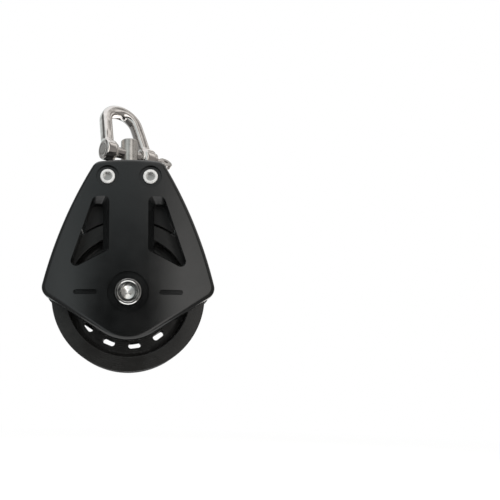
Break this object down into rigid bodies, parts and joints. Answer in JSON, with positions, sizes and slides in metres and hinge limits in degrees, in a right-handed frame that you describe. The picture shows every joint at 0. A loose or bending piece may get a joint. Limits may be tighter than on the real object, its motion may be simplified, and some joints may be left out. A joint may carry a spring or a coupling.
{
  "type": "single sheave block",
  "caption": "Single sheave block with swivel shackle: black moulded cheeks with triangular windows round a ball-bearing sheave, hung from a stainless post and D shackle.",
  "frame": {"origin": "centre of the sheave, midway between the cheeks", "axes": "+Y along the axle from the front cheek to the back cheek, +Z from the axle up to the swivel, line runs over the sheave in X"},
  "size_m": [0.0834, 0.0378, 0.1436],
  "materials": {
    "cheek_plastic": "satin moulded",
    "head_plastic": "satin moulded",
    "sheave_plastic": "satin moulded",
    "cover_plastic": "satin moulded",
    "ball_plastic": "polished acetal",
    "bush_plastic": "acetal",
    "shackle_steel": "polished stainless",
    "pin_steel": "polished stainless",
    "post_steel": "brushed stainless",
    "strap_steel": "brushed stainless",
    "screw_steel": "bright stainless",
    "axle_steel": "turned stainless",
    "race_alloy": "hard anodised"
  },
  "bodies": {
    "shackle": {"shackle_bow": "shackle_steel", "shackle_pin": "pin_steel"},
    "post": {"swivel_post": "post_steel", "post_nut": "post_steel", "post_nut_pin": "post_steel"},
    "block": {"front_cheek": "cheek_plastic", "back_cheek": "cheek_plastic", "front_strap": "strap_steel", "back_strap": "strap_steel", "head_block": "head_plastic", "swivel_bush": "bush_plastic", "thrust_washer": "bush_plastic", "head_sleeves": "strap_steel", "head_screws": "screw_steel", "head_nuts": "screw_steel", "axle_sleeve": "axle_steel", "axle_bolt": "axle_steel", "axle_nut": "axle_steel", "axle_washers": "axle_steel", "inner_race": "race_alloy"},
    "sheave": {"sheave": "sheave_plastic", "front_ball_cover": "cover_plastic", "back_ball_cover": "cover_plastic", "cover_screws": "screw_steel"},
    "ball_train": {"front_balls": "ball_plastic", "back_balls": "ball_plastic"}
  },
  "joints": [
    {"name": "shackle_tilt", "type": "hinge", "parent": "shackle", "child": "post", "pos_m": [0, 0, 0.0754], "axis": [0.8572, 0.515, 0], "range_deg": [-119.7, 80.3]},
    {"name": "swivel", "type": "hinge", "parent": "post", "child": "block", "pos_m": [0, 0, 0.0628], "axis": [0, 0, 1], "continuous": true},
    {"name": "sheave_spin", "type": "hinge", "parent": "block", "child": "sheave", "pos_m": [0, 0, 0], "axis": [0, 1, 0], "continuous": true},
    {"name": "ball_train_spin", "type": "hinge", "parent": "block", "child": "ball_train", "pos_m": [0, 0, 0], "axis": [0, 1, 0], "continuous": true}
  ],
  "couplings": [
    {"joint": "ball_train_spin", "follows": "sheave_spin", "ratio": 0.59615}
  ]
}
